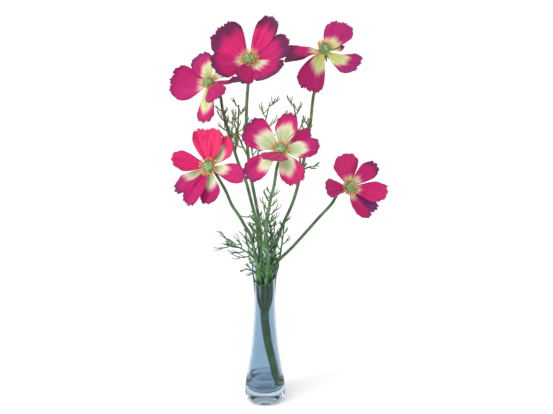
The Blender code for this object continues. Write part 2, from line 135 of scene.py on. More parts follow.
for place, watts, width, height in PANELS:
    panel = bpy.data.lights.new("panel", "AREA")
    panel.energy = watts
    panel.shape = "RECTANGLE"
    panel.size = width
    panel.size_y = height
    holder = bpy.data.objects.new("panel", panel)
    holder.location = place
    holder.rotation_euler = (LOOKS_AT - Vector(place)).to_track_quat("-Z", "Y").to_euler()
    bpy.context.collection.objects.link(holder)

sky = bpy.data.worlds.new("studio")
sky.use_nodes = True
bpy.context.scene.world = sky
facing = add(sky.node_tree, "TexCoord")
upward = add(sky.node_tree, "SeparateXYZ", {"Vector": facing.outputs["Generated"]})
tent_whites = [(0, "#E8EDF2"), (0.6, "#FFFFFF")]
walls = add(sky.node_tree, "ValToRGB", {"Fac": upward.outputs["Z"]}, tent_whites)
backdrop = sky.node_tree.nodes["Background"]
sky.node_tree.links.new(walls.outputs["Color"], backdrop.inputs["Color"])
backdrop.inputs["Strength"].default_value = SKY_LIGHT

# ---- vase ---------------------------------------------------------------------------------------
# A bud vase of clear soda-lime glass, blown in a mould: a heavy base with a rounded well, a waisted
# neck, and a mouth cut on a slant, low in front, whose lip is fire-polished round.

VASE_OUTSIDE = [
    (0, 17), (1.4, 19.8), (6, 22.8), (12.6, 24.2), (24.6, 23.5), (36.6, 21.1), (60, 17.4),
    (83.5, 14.8), (105, 13.2), (125.7, 12.5), (137, 12.9), (150, 13.6), (162, 14.9), (170, 17.0),
    (180, 20.5),
]
VASE_WALL = 2.2
LIP_WALL = 1.3
LIP_STEPS = 8
PUNT = [(5.0, 2), (4.7, 5), (3.7, 9), (2.0, 13), (0, 16)]  # the domed hollow under the foot
VASE_WELL = [(23, 20.3), (19.8, 18.9), (17.2, 16.4), (15.2, 12.5), (14.0, 8), (13.6, 3)]
WELL_TOP = 30
VASE_SIDES = 128
VASE_STEPS = 5
WELL_STEPS = 4
MOUTH_MIDDLE = 165.5
MOUTH_SLANT = 14.5
MOUTH_LOW_HEADING = math.radians(-102)
MOUTH_BASE = 137


def smooth_route(points, steps):
    """Points of a smooth curve (Catmull-Rom) through a list of points, with this many steps to each span."""
    held = [Vector(p) for p in points]
    held = [2 * held[0] - held[1], *held, 2 * held[-1] - held[-2]]
    route = []
    for a, b, c, d in zip(held, held[1:], held[2:], held[3:]):
        for k in range(steps):
            t = k / steps
            bend = (2 * a - 5 * b + 4 * c - d) * t * t + (3 * b - a - 3 * c + d) * t**3
            route.append((2 * b + (c - a) * t + bend) / 2)
    return [*route, held[-2]]


def turned(name, profile, sides):
    """A turned solid: a disc at the first height and radius, extruded and resized to each that follows."""
    (height, radius), *rest = profile
    bpy.ops.object.select_all(action="DESELECT")
    bpy.ops.mesh.primitive_circle_add(
        vertices=sides, radius=radius * MM, fill_type="NGON", location=(0, 0, height * MM)
    )
    piece = bpy.context.object
    piece.name = name
    bpy.ops.object.mode_set(mode="EDIT")
    bpy.ops.mesh.select_all(action="SELECT")
    for next_height, next_radius in rest:
        rise = (0, 0, (next_height - height) * MM)
        bpy.ops.mesh.extrude_region_move(TRANSFORM_OT_translate={"value": rise})
        bpy.ops.transform.resize(value=(next_radius / radius, next_radius / radius, 1))
        height, radius = next_height, next_radius
    bpy.ops.mesh.select_all(action="SELECT")
    bpy.ops.mesh.normals_make_consistent(inside=False)
    bpy.ops.object.mode_set(mode="OBJECT")
    bpy.ops.object.transform_apply(location=True)
    bpy.ops.object.shade_smooth()
    return piece


def profile_radius(height):
    """Outer radius of the vase at a height, between the profile's smoothed points."""
    return float(np.interp(height, *zip(*[(p.x, p.y) for p in outside])))


outside = smooth_route([(height, radius, 0) for height, radius in VASE_OUTSIDE], VASE_STEPS)
top = VASE_OUTSIDE[-1]
lip = []
for i in range(1, LIP_STEPS):
    turn = math.pi * i / LIP_STEPS
    lip.append((top[0] + LIP_WALL / 2 * math.sin(turn), top[1] - LIP_WALL / 2 * (1 - math.cos(turn))))
inside = []
for p in reversed(outside):
    if p.x > WELL_TOP:
        thick = np.interp(p.x, (MOUTH_BASE, top[0]), (VASE_WALL, LIP_WALL))
        inside.append((p.x, p.y - float(thick)))
well = smooth_route([(*point, 0) for point in [inside[-1], *VASE_WELL]], WELL_STEPS)[1:]
wall = [*[(p.x, p.y) for p in outside], *lip, *inside, *[(p.x, p.y) for p in well]]
vase = turned("bud_vase", PUNT + wall, VASE_SIDES)

# The mouth is slanted: each point above its base keeps its place in the wall on a lower or higher ring.
for vert in vase.data.vertices:
    height = vert.co.z / MM
    if height > MOUTH_BASE:
        heading = math.atan2(vert.co.y, vert.co.x)
        rim = MOUTH_MIDDLE - MOUTH_SLANT * math.cos(heading - MOUTH_LOW_HEADING)
        lip_share = min((height - MOUTH_BASE) / (top[0] - MOUTH_BASE), 1)
        level = MOUTH_BASE + (rim - MOUTH_BASE) * lip_share + max(height - top[0], 0)
        radius = vert.co.xy.length / MM
        radius += profile_radius(min(level, top[0])) - profile_radius(min(height, top[0]))
        vert.co = Vector((radius * math.cos(heading), radius * math.sin(heading), level)) * MM

# Soda-lime glass, fire-polished: clear and sharp, with the faint blue of a cast body where it is thick.
# Head on it mirrors half as much as bare glass, which stands for the tent's dim opening in front of it.
glass, tree, shader = new_material("clear_soda_lime_glass")
shader.inputs["Base Color"].default_value = linear("#B4C9D9")
shader.inputs["Roughness"].default_value = 0.02
shader.inputs["IOR"].default_value = 1.5
shader.inputs["Specular Tint"].default_value = linear("#BEBEBE")
shader.inputs["Transmission Weight"].default_value = 1
vase.data.materials.append(glass)
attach(vase, "root")
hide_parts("vase")

# ---- clear fill ---------------------------------------------------------------------------------
# The shallow clear filling poured round the stem's foot, which set with a level top that climbs
# the glass a little at its edge.

FILL_LEVEL = 33
FILL_BITE = 0.2  # it runs this far into the glass, so that light crosses from one straight to the other
FILL_RINGS = (19, 18, 16.5, 14, 9, 2)
MENISCUS = 0.3  # how far its top climbs the glass
CLIMB = 12  # the power that keeps the climb close to the glass
SHARP = math.radians(50)  # an edge that turns by more than this stays crisp

fill_wall = [(height - FILL_BITE, radius + FILL_BITE) for height, radius in reversed(VASE_WELL)]
fill_edge = profile_radius(FILL_LEVEL) - VASE_WALL + FILL_BITE
fill_top = [(FILL_LEVEL + MENISCUS, fill_edge)]
for radius in FILL_RINGS:
    fill_top.append((FILL_LEVEL + MENISCUS * (radius / fill_edge) ** CLIMB, radius))
fill = turned("clear_fill", [*fill_wall, *fill_top], VASE_SIDES)
bpy.ops.object.shade_smooth_by_angle(angle=SHARP)

# Clear silicone gel: as clear as water and barely bending what stands in it.
gel, tree, shader = new_material("clear_silicone_gel")
shader.inputs["Base Color"].default_value = linear("#EEF4F8")
shader.inputs["Roughness"].default_value = 0.03
shader.inputs["IOR"].default_value = 1.15
shader.inputs["Transmission Weight"].default_value = 1
fill.data.materials.append(gel)
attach(fill, "root")
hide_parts("water")

# ---- stems --------------------------------------------------------------------------------------
# One thick wire stem, sleeved in green plastic, stands in the fill and parts in the vase's neck into
# six thin ones. Each meets its bloom square on, at the calyx.

TRUNK_ROUTE = [
    (14.6, 0, 18.8), (14, 0, 24), (11, 0, 40), (7.6, 0, 56),
    (4, 0, 72), (1.8, 0, 88), (0, 0, 104), (-0.6, 0, 126),
]
TRUNK_RADII = (4.4, 5.2)
TRUNK_STEPS = 4
TRUNK_ROUNDNESS = 8
STEM_RADII = (2.0, 1.7)
STEM_STEPS = 6
STEM_ROUNDNESS = 6
STEM_FOOT = 117
STEM_FOOT_SPREAD = 3.4
NECK_DEPTHS = (-22, -8)  # where a stem stands under its disc, square to it
STEM_ROUTES = [
    [
        (-2, 2, 146), (-6, 6, 186), (-9, 9, 218), (-16, 12, 248),
        (-22, 15, 271), (-30, 18, 290), (-38, 21, 316), (-47, 25, 347),
    ],
    [
        (-2, -1, 147), (-3, -2, 180), (-5, -3, 218), (-10, -4, 251),
        (-14, -4, 273), (-18, -4, 303), (-20, -4, 338), (-19, -4, 371),
    ],
    [
        (3, 4, 146), (8, 9, 173), (14, 13, 196), (22, 17, 218), (32, 21, 240),
        (39, 26, 262), (46, 32, 292), (53, 40, 331), (57, 45, 366),
    ],
    [
        (-4, -4, 149), (-9, -8, 179), (-16, -12, 212), (-22, -14, 224),
        (-29, -17, 238), (-37, -20, 252), (-44, -22, 270),
    ],
    [
        (2, -5, 149), (4, -12, 185), (2, -18, 203), (2, -21, 216), (2, -26, 233),
        (5, -31, 250), (8, -36, 267), (11, -40, 279), (14, -44, 300),
    ],
    [
        (4.5, 2, 146), (8, 2.4, 160), (12, 2, 170), (17, 3, 177.5),
        (32, 8, 191), (48, 10, 209), (64, 13, 227), (78, 16, 242),
    ],
]

# A bloom has the place of its disc, the heading and rise it faces, and its petals' length. A petal has its
# heading round the disc, lift, curl, width, edge cup, twist and share of that length, as it is built, and
# then its dye: the reach of its pale throat, how far that lies to one side, the reach of its dark tip, its
# tone, from violet (0) to coral pink (1), and how yellow the throat is.
PETAL_VALUES = "heading lift curl width cup twist length throat aside tip tone yellow"
Petal = namedtuple("Petal", PETAL_VALUES, defaults=(0.15,))
Bloom = namedtuple("Bloom", "centre heading rise length petals")
BLOOMS = [
    Bloom((-62, 18, 384), -40, 40, 42, [
        Petal(199, 27, 31, 40, -0.15, -36, 1.0, 0.12, 0, 0.14, 0.38),
        Petal(132, 16, 25, 28, 0.25, 0, 0.86, 0.5, -0.4, 0.2, 0.42, 0.5),
        Petal(64, 0, 20, 26, 0.2, 0, 0.9, 0.3, 0, 0.45, 0.2),
        Petal(328, 20, -31, 27, -0.2, -10, 0.97, 0.05, 0, 0.1, 0.45),
        Petal(276, -20, 0, 23, -0.2, -4, 0.97, 0.6, 0, 0.12, 0.5, 0.6),
        Petal(14, 0, 40, 18, 0.2, -85, 1.0, 0, 0, 0.5, 0.4),
    ]),
    Bloom((-16, -20, 417), 0, 38, 48, [
        Petal(139, 25, 20, 41, -0.2, -16, 0.9, 0.04, 0, 0.4, 0.62),
        Petal(58, 24, 18, 24, 0.3, 9, 1.02, 0.04, 0, 0.34, 0.6),
        Petal(15, 30, 42, 27, 0.05, 5, 0.98, 0, 0, 0.38, 0.5),
        Petal(316, 33, 48, 38, 0.18, -6, 0.95, 0.22, 0.4, 0.34, 0.45, 0.1),
        Petal(257, 33, 14, 25, 0.2, -34, 0.8, 0, 0, 0.18, 0.4),
        Petal(204, 26, 30, 32, 0.12, 0, 0.9, 0.14, 0, 0.26, 0.5),
    ]),
    Bloom((68, 38, 417), 10, 68, 42, [
        Petal(46, 27, 26, 36, 0.13, -3, 0.99, 0.34, 0, 0.08, 0.3, 0.6),
        Petal(28, 4, 10, 22, 0.2, 0, 0.5, 0.7, 0, 0.1, 0.4, 0.8),
        Petal(323, 0, 35, 33, -0.12, 16, 0.99, 0.5, 0, 0.12, 0.25, 0.9),
        Petal(230, -60, -60, 34, 0.2, 0, 1.12, 0.38, 0.4, 0.1, 0.35, 0.9),
        Petal(188, 0, -20, 26, 0.2, 0, 1.0, 0.2, 0, 0.36, 0.45, 0.6),
        Petal(172, -20, -20, 26, 0.2, 0, 1.0, 0.4, 0, 0.3, 0.45, 0.6),
    ]),
    Bloom((-61, -35, 300), -8, 20, 40, [
        Petal(83, 19, 19, 22, 0.17, 11, 1.0, 0, 0, 0, 1.0),
        Petal(107, 8, -11, 19, 0.4, 4, 0.98, 0, 0, 0.06, 0.9),
        Petal(51, 12, 70, 23, 0.2, -20, 0.94, 0.5, 0.3, 0.05, 0.9),
        Petal(348, 10, 23, 22, 0, 14, 0.97, 0.34, 0.3, 0.1, 0.45),
        Petal(275, 9, 50, 24, 0.08, 14, 0.95, 0.42, 0, 0.14, 0.4),
        Petal(245, 8, 18, 20, 0.6, 15, 1.1, 0, 0, 0.1, 0.45),
        Petal(217, -4, 3, 20, 0.25, 25, 1.05, 0.5, -0.8, 0.2, 0.4),
        Petal(171, 26, 33, 23, 0.19, 26, 0.98, 0, 0, 0, 0.7),
    ]),
    Bloom((18, -55, 325), 5, 45, 42, [
        Petal(147, 16, 20, 38, 0.15, 0, 0.98, 0.48, 0, 0.16, 0.42),
        Petal(72, 7, 27, 27, 0.18, -30, 0.99, 0.58, 0, 0.14, 0.55),
        Petal(38, -6, 20, 18, 0.5, 60, 0.95, 0.2, 0, 0.1, 0.45),
        Petal(356, 15, 28, 29, 0.13, -14, 0.92, 0.52, 0, 0.14, 0.35),
        Petal(290, 0, -11, 27, 0.18, 16, 0.98, 0.58, -0.3, 0.12, 0.6),
        Petal(247, 45, -14, 29, 0.05, 10, 0.94, 0, 0, 0.1, 0.55),
        Petal(211, -28, 8, 25, 0.5, -14, 1.05, 0.48, 0.3, 0.16, 0.4),
    ]),
    Bloom((98, 8, 264), 30, 22, 38, [
        Petal(91, 10, 18, 36, 0.05, 9, 0.92, 0.15, -0.3, 0.1, 0.52),
        Petal(34, 30, 30, 21, 0.2, 0, 1.0, 0.22, 0, 0.24, 0.42),
        Petal(340, 30, 32, 24, -0.1, -2, 1.08, 0.12, 0, 0.05, 0.5),
        Petal(314, 4, 10, 16, 0.5, 30, 1.0, 0, 0, 0.6, 0.15),
        Petal(277, 30, 55, 18, 0.23, -5, 1.08, 0.15, 0, 0.1, 0.42),
        Petal(175, 21, 30, 22, 0.05, 5, 1.0, 0, 0, 0.12, 0.38),
    ]),
]


UP = Vector((0, 0, 1))


def spoke(turn):
    """The level direction at a turn from +X."""
    return Vector((math.cos(turn), math.sin(turn), 0))


def bloom_space(bloom):
    """The matrix from a bloom's own space to the object's, in millimetres."""
    heading, rise = math.radians(bloom.heading), math.radians(bloom.rise)
    right = spoke(heading)
    facing = spoke(heading - math.pi / 2) * math.cos(rise) + UP * math.sin(rise)
    turn = Matrix((right, facing.cross(right), facing)).transposed().to_4x4()
    return Matrix.Translation(bloom.centre) @ turn


def stem_points(number, steps):
    """The centre line of a flower stem, from inside the trunk to the calyx it carries."""
    space = bloom_space(BLOOMS[number])
    neck = [space @ (UP * depth) for depth in NECK_DEPTHS]
    side = Vector(STEM_ROUTES[number][0]) * Vector((1, 1, 0))
    foot = side.normalized() * STEM_FOOT_SPREAD + UP * STEM_FOOT
    return smooth_route([foot, *STEM_ROUTES[number], *neck], steps)


def tapered(route, radii):
    """Points of a rod with a radius at each, running evenly from one end's to the other's."""
    step = (radii[1] - radii[0]) / (len(route) - 1)
    return [(point, radii[0] + step * i) for i, point in enumerate(route)]


def rods(name, lines, roundness):
    """One mesh of round rods, each a list of points and radii."""
    curve = bpy.data.curves.new(name, "CURVE")
    curve.dimensions = "3D"
    curve.bevel_depth = MM
    curve.bevel_resolution = roundness
    curve.use_fill_caps = True
    for line in lines:
        spline = curve.splines.new("POLY")
        spline.points.add(len(line) - 1)
        for point, (centre, radius) in zip(spline.points, line):
            point.co = (*(centre * MM), 1)
            point.radius = radius
    piece = bpy.data.objects.new(name, curve)
    bpy.context.collection.objects.link(piece)
    bpy.ops.object.select_all(action="DESELECT")
    bpy.context.view_layer.objects.active = piece
    piece.select_set(True)
    bpy.ops.object.convert(target="MESH")
    bpy.ops.object.shade_smooth_by_angle(angle=SHARP)
    return piece


stem_lines = [tapered(stem_points(number, STEM_STEPS), STEM_RADII) for number in range(len(BLOOMS))]
stems = rods("stems", stem_lines, STEM_ROUNDNESS)
trunk_line = tapered(smooth_route(TRUNK_ROUTE, TRUNK_STEPS), TRUNK_RADII)
trunk = rods("trunk", [trunk_line], TRUNK_ROUNDNESS)


DYE_LEVELS = (0.24, 0.33)  # metres: the lower greens end at the first, and the higher begin at the second
STEM_GREENS = [("#335439", "#58804C"), ("#3A5236", "#5F7B4E")]
TRUNK_GREENS = [("#33682A", "#559040")] * 2


def moulded_green(name, low, high, roughness):
    """Moulded polythene: satin, mottled over 6 to 15 mm from a dark to a light green, and grained finely.

    The green runs from one pair of colours low on the spray to another high on it, as it was dyed.
    """
    made, tree, shader = new_material(name)
    place = add(tree, "TexCoord").outputs["Object"]
    mottle = add(tree, "TexNoise", {"Vector": place, "Scale": 110, "Detail": 4}).outputs["Fac"]
    level = add(tree, "SeparateXYZ", {"Vector": place}).outputs["Z"]
    rise = add(tree, "MapRange", {"Value": level, "From Min": DYE_LEVELS[0], "From Max": DYE_LEVELS[1]})
    lower = add(tree, "ValToRGB", {"Fac": mottle}, [(0.35, low[0]), (0.65, low[1])])
    upper = add(tree, "ValToRGB", {"Fac": mottle}, [(0.35, high[0]), (0.65, high[1])])
    pair = {"Factor": rise.outputs["Result"], "A": lower.outputs["Color"], "B": upper.outputs["Color"]}
    colour = add(tree, "Mix", pair, data_type="RGBA").outputs["Result"]
    grain = add(tree, "TexNoise", {"Vector": place, "Scale": 900, "Detail": 2})
    bump = add(tree, "Bump", {"Height": grain.outputs["Fac"], "Strength": 0.25, "Distance": 0.0003})
    tree.links.new(colour, shader.inputs["Base Color"])
    tree.links.new(bump.outputs["Normal"], shader.inputs["Normal"])
    shader.inputs["Roughness"].default_value = roughness
    return made


stems.data.materials.append(moulded_green("moulded_polythene_stem", *STEM_GREENS, 0.5))
trunk.data.materials.append(moulded_green("moulded_polythene_trunk", *TRUNK_GREENS, 0.5))
for piece in (stems, trunk):
    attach(piece, "root")
    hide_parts("leafy_stems")

# ---- feathery leaves ----------------------------------------------------------------------------
# Thread-like leaves, moulded with the stems: a bowed midrib with threads to both sides, which fork
# towards their ends, as on a real cosmos.

# A leaf's stem, the height of its root on it, its heading, rise, length and bow, and how many threads it
# has and how long they are.
Frond = namedtuple("Frond", "stem root heading rise length bow threads thread")
FRONDS = [
    Frond(2, 300, 190, 64, 50, -16, 6, 16),
    Frond(1, 296, 186, 70, 68, -10, 9, 16),
    Frond(1, 302, 40, 80, 56, -10, 5, 19),
    Frond(2, 276, 0, 79, 96, 4, 6, 22),
    Frond(3, 272, 140, 84, 82, 6, 7, 19),
    Frond(3, 314, 0, 88, 28, 0, 4, 12),
    Frond(3, 280, -20, 50, 20, 60, 3, 10),
    Frond(5, 212, 0, 84, 58, 0, 9, 16),
    Frond(5, 224, 190, 50, 26, 30, 3, 13),
    Frond(3, 190, 150, 84, 38, 10, 6, 14),
    Frond(6, 177, 20, 80, 48, -6, 6, 14),
    Frond(4, 172, 170, 78, 40, -20, 7, 14),
    Frond(4, 176, 190, 50, 44, 40, 8, 23),
    Frond(4, 170, 185, 24, 18, 10, 3, 9),
    Frond(5, 176, -80, 80, 42, 0, 6, 14),
    Frond(1, 180, 120, 82, 42, 0, 6, 14),
    Frond(3, 178, 100, 82, 42, 10, 6, 14),
]
MOUTH_FRONDS = [
    # small leaves packed in the vase's mouth, between the larger ones
    Frond(1, 150, 200, 84, 34, 0, 7, 9),
    Frond(4, 152, 250, 82, 32, -6, 8, 10),
    Frond(2, 152, 150, 86, 36, 0, 8, 9),
    Frond(3, 154, 40, 82, 34, 0, 8, 10),
    Frond(6, 158, -20, 80, 28, 0, 7, 10),
    Frond(5, 150, -90, 84, 34, 0, 8, 10),
    Frond(5, 156, -50, 78, 28, 0, 7, 10),
    Frond(4, 158, 200, 74, 30, 0, 7, 11),
]
ROOT_STEPS = 2
LEAF_STEPS = 4
LEAF_ROUNDNESS = 1
LEAF_FACING = Vector((0.2, 1, 0.1))
MIDRIB_RADII = (1.3, 0.75)
MIDRIB_SPANS = 4
BARE_STALK = 0.25  # share of the midrib below its first thread
LAST_THREAD = 0.95  # share of the midrib below its last one
THREAD_RADII = (0.85, 0.5)
THREAD_ROLL = 0.7
THREAD_LENGTHS = (0.75, 1.1)
THREAD_LONGEST = 1.1
THREAD_TAPER = 0.55
THREAD_LEAN = (0.8, 2.0)
TIP_LEAN = 4
TIP_GROWN = 0.45  # the soft tips run on past the moulded core by this share of a thread
FORKED = 0.35  # share of the threads that have a moulded fork
FORK_RADII = (0.7, 0.42)
FORK_LEAN = 0.5
FORK_SPREAD = 0.4
FORK_SHARE = 0.5
FORK_GROWN = 0.35
FINE_FORKS = [(0.3, -1), (0.55, 1)]  # how far up the thread each fine fork stands, and its side
FINE_STEPS = 3
FINE_SPREAD = 0.4
FINE_LEAN = (0.32, 0.6)
FINE_SHARE = (0.5, 0.8)
STALK_RADII = (1.2, 1.0)
STALK_STEPS = 5
STALK_ROUNDNESS = 2
STALK_HIGHEST = 230  # leaves rooted below this have a stalk that runs down into the neck
STALK_ROUTE = [(3.4, 114), (7.2, 126), (9.2, 138), (9.2, 150)]  # distance from the middle, and height
LEAF_SEED = 40
FINE_SEED = 140


def thread_lines(root, along, out, length, draw, extra):
    """One thread, curving up along the leaf to its soft tip, with a moulded fork on some threads and two
    finer forks.
    """
    start, finish = ((along * lean + out).normalized() for lean in THREAD_LEAN)
    middle = root + start * length / 2
    end = middle + finish * length / 2
    tip = end + (along * TIP_LEAN + out).normalized() * length * TIP_GROWN
    route = smooth_route([root, middle, end, tip], LEAF_STEPS)
    lines = [tapered(route, THREAD_RADII)]
    if draw.random() < FORKED:
        aside = along.cross(out) * draw.uniform(-FORK_SPREAD, FORK_SPREAD)
        away = (along - out * FORK_LEAN + aside).normalized()
        foot = middle - start
        elbow = foot + away * length * FORK_SHARE
        tip = elbow + (away + along).normalized() * length * FORK_GROWN
        lines.append(tapered(smooth_route([foot, elbow, tip], LEAF_STEPS), FORK_RADII))
    facing = along.cross(out).normalized()
    for share, side in FINE_FORKS:
        k = int(share * (len(route) - 1))
        ahead = (route[k + 1] - route[k]).normalized()
        sideways = facing.cross(ahead) * side * extra.uniform(*FINE_LEAN)
        away = (ahead + sideways + facing * extra.uniform(-FINE_SPREAD, FINE_SPREAD)).normalized()
        reach = length * extra.uniform(*FINE_SHARE)
        elbow = route[k] + away * reach / 2
        tip = elbow + (away + along).normalized() * reach / 2
        lines.append(tapered(smooth_route([route[k], elbow, tip], FINE_STEPS), FORK_RADII))
    return lines


def leaf_root(frond):
    """Where a leaf's midrib starts: the point of its stem's centre line nearest in height."""
    return min(stem_points(frond.stem - 1, ROOT_STEPS), key=lambda p: abs(p.z - frond.root))


def frond_lines(frond, number):
    """A feathery leaf: a bowed midrib from the stem's heart, with threads to both sides of it."""
    draw, extra = random.Random(LEAF_SEED + number), random.Random(FINE_SEED + number)
    flat = spoke(math.radians(frond.heading))
    midrib = [leaf_root(frond)]
    for i in range(MIDRIB_SPANS):
        angle = math.radians(frond.rise) - math.radians(frond.bow) * i / MIDRIB_SPANS
        step = flat * math.cos(angle) + UP * math.sin(angle)
        midrib.append(midrib[-1] + step * frond.length / MIDRIB_SPANS)
    lines = [tapered(smooth_route(midrib, LEAF_STEPS), MIDRIB_RADII)]
    for i in range(frond.threads):
        share = BARE_STALK + (LAST_THREAD - BARE_STALK) * i / (frond.threads - 1)
        place = share * MIDRIB_SPANS
        k = int(place)
        foot = midrib[k].lerp(midrib[k + 1], place - k)
        along = (midrib[k + 1] - midrib[k]).normalized()
        across = along.cross(LEAF_FACING).normalized() * (-1) ** i
        lean = Matrix.Rotation(draw.uniform(-THREAD_ROLL, THREAD_ROLL), 3, along)
        reach = frond.thread * draw.uniform(*THREAD_LENGTHS) * (THREAD_LONGEST - THREAD_TAPER * share)
        lines += thread_lines(foot, along, lean @ across, reach, draw, extra)
    return lines


def stalk_line(frond):
    """The lower stalk of a leaf, from the trunk's top up the inside of the neck to the leaf's root."""
    flat = spoke(math.radians(frond.heading))
    points = [flat * radius + UP * height for radius, height in STALK_ROUTE]
    return tapered(smooth_route([*points, leaf_root(frond)], STALK_STEPS), STALK_RADII)


leaf_lines = []
stalk_lines = []
for number, frond in enumerate([*FRONDS, *MOUTH_FRONDS]):
    leaf_lines += frond_lines(frond, number)
    if frond.root < STALK_HIGHEST:
        stalk_lines.append(stalk_line(frond))
leaves = rods("feathery_leaves", leaf_lines, LEAF_ROUNDNESS)
stalks = rods("leaf_stalks", stalk_lines, STALK_ROUNDNESS)
LEAF_GREENS = [("#30543A", "#5C8450"), ("#46502A", "#808C48")]
leaves.data.materials.append(moulded_green("moulded_polythene_leaf", *LEAF_GREENS, 0.55))
stalks.data.materials.append(trunk.data.materials[0])
for piece in (leaves, stalks):
    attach(piece, "root")
    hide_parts("leafy_stems")

# ---- calyxes ------------------------------------------------------------------------------------
# Under each bloom the stem swells to a small moulded cup, with a ring of narrow sepals that stand
# back from it and a shorter ring between them.

CALYX_PROFILE = [(-10.6, 1.75), (-9, 2.1), (-7, 2.8), (-5.4, 3.9), (-4.2, 4.5), (-2.6, 4.6), (-1.5, 4.3)]
CALYX_SIDES = 32
SEPALS = 5
SEPAL_LENGTH = 8
SHORT_SEPAL = 0.7
SEPAL_ROOT = 3.6
SEPAL_SLOPE = 1.5
SEPAL_RADII = (0.7, 1.1, 1.15, 0.8, 0.3)
SEPAL_ROUNDNESS = 2


def move_points(piece, space):
    """Moves a piece's points, held in metres, by a matrix in millimetres."""
    piece.data.transform(Matrix.Scale(1 / MM, 4))
    piece.data.transform(Matrix.Scale(MM, 4) @ space)


def join(pieces, name):
    """One object from several, in the order given."""
    bpy.ops.object.select_all(action="DESELECT")
    for piece in pieces:
        piece.select_set(True)
    bpy.context.view_layer.objects.active = pieces[0]
    bpy.ops.object.join()
    pieces[0].name = name
    return pieces[0]


calyx_cups = []
sepal_lines = []
for bloom in BLOOMS:
    space = bloom_space(bloom)
    cup = turned("calyx_cup", CALYX_PROFILE, CALYX_SIDES)
    move_points(cup, space)
    calyx_cups.append(cup)
    for i in range(2 * SEPALS):
        out = spoke(math.pi * i / SEPALS)
        root = (out - UP) * SEPAL_ROOT
        slope = (out - UP * SEPAL_SLOPE).normalized()
        length = SEPAL_LENGTH * (SHORT_SEPAL if i % 2 else 1)
        line = []
        for k, radius in enumerate(SEPAL_RADII):
            line.append((space @ (root + slope * length * (k / (len(SEPAL_RADII) - 1))), radius))
        sepal_lines.append(line)
sepals = rods("sepals", sepal_lines, SEPAL_ROUNDNESS)
calyxes = join([*calyx_cups, sepals], "calyxes")
calyxes.data.materials.clear()
CALYX_GREENS = [("#3B5D33", "#66884A"), ("#3F5A32", "#6C844A")]
calyxes.data.materials.append(moulded_green("moulded_polythene_calyx", *CALYX_GREENS, 0.5))
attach(calyxes, "root")
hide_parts("leafy_stems")

# ---- petals -------------------------------------------------------------------------------------
# Petals stamped from polyester cloth and set in heat: a narrow claw widens to a broad blade, pleated
# along its length, with a ragged toothed tip. They are airbrushed magenta, pale at the throat and
# dark at the tip.

PETAL_ROWS = 32
PETAL_COLUMNS = 60
CLOTH_THICK = 0.6
PETAL_ROOT = 4.4  # distance of the claw from the middle of the bloom
PETAL_SINK = 0.65  # depth of the claw below the origin of the bloom's space
CLAW = 0.16  # width of the claw, as a share of the blade's
FULLEST = 0.62
FLAT_CURL = 1e-4  # radians: a flat petal is pressed as one with hardly a curl
CORNER = 0.2  # how far the tip's corners fall back
TOOTH = 0.022  # how far the tip stands out at each pleat's ridge
RIDGES = 3  # half turns of the pleats from the middle of a petal to its side
RAG = 0.055  # depth of the ragged cut along the tip, as a share of the length
RAG_DEPTH = 1.1
RAG_BUMPS = [(0.4, 0, 6, 40), (0.8, 0, 14, 90), (0.5, 0, 23, 70)]
NICK = 0.07  # depth of the cut up the sides, as a share of the half width
NICK_DEPTH = 1
NICK_BUMPS = [(1, 21, 1, 50), (0.5, 37, 0, 30)]
PLEAT = 0.5
FINE_PLEAT = 0.1
FINE_RIDGES = 15
WAVE = 1.3
WAVES = 1.2
RUFFLE = 0.4
RUFFLES = 3.1


def bumps(kinds, t, s, phase):
    """Rounded bumps of several kinds, laid over each other along a cut edge.

    Each kind has its height, how closely they follow each other up the petal and across it, and their shift.
    """
    return sum(high * np.abs(np.sin(up * t + over * s + shift * phase)) for high, up, over, shift in kinds)


def petal_points(petal, length, phase, t, s):
    """The petal's points in its bloom's space: t runs from claw to tip, s from -1 to 1 across."""
    ridge = np.cos(RIDGES * math.pi * s)
    tip = t**6
    rag = bumps(RAG_BUMPS, t, s, phase) - RAG_DEPTH
    nick = bumps(NICK_BUMPS, t, s, phase) - NICK_DEPTH
    reach = t * (1 - CORNER * np.abs(s) ** 3 * t) + TOOTH * ridge * tip + RAG * rag * tip
    curl = math.radians(petal.curl) or FLAT_CURL
    start = math.radians(petal.lift) - curl / 2
    slope = start + curl * reach
    along = length * (np.sin(slope) - math.sin(start)) / curl
    height = length * (math.cos(start) - np.cos(slope)) / curl
    half = petal.width / 2 * (CLAW + (1 - CLAW) * np.sin(math.pi * FULLEST * t)) * (1 + NICK * nick * tip)
    wave = WAVE * s * np.abs(s) * t * np.sin(2 * math.pi * (WAVES * t + phase))
    ruffle = RUFFLE * np.abs(s) ** 3 * t * np.sin(2 * math.pi * (RUFFLES * t + 2 * phase))
    pleat = (PLEAT * ridge + FINE_PLEAT * np.cos(FINE_RIDGES * math.pi * s)) * np.sin(math.pi * t)
    crest = petal.cup * half * s * s + pleat + wave + ruffle
    twist = math.radians(petal.twist) * t
    side = half * s * np.cos(twist) - crest * np.sin(twist)
    raised = half * s * np.sin(twist) + crest * np.cos(twist)
    across = PETAL_ROOT + along - raised * np.sin(slope)
    turn = math.radians(petal.heading)
    x = across * math.cos(turn) - side * math.sin(turn)
    y = across * math.sin(turn) + side * math.cos(turn)
    return np.column_stack([x, y, height + raised * np.cos(slope) - PETAL_SINK])


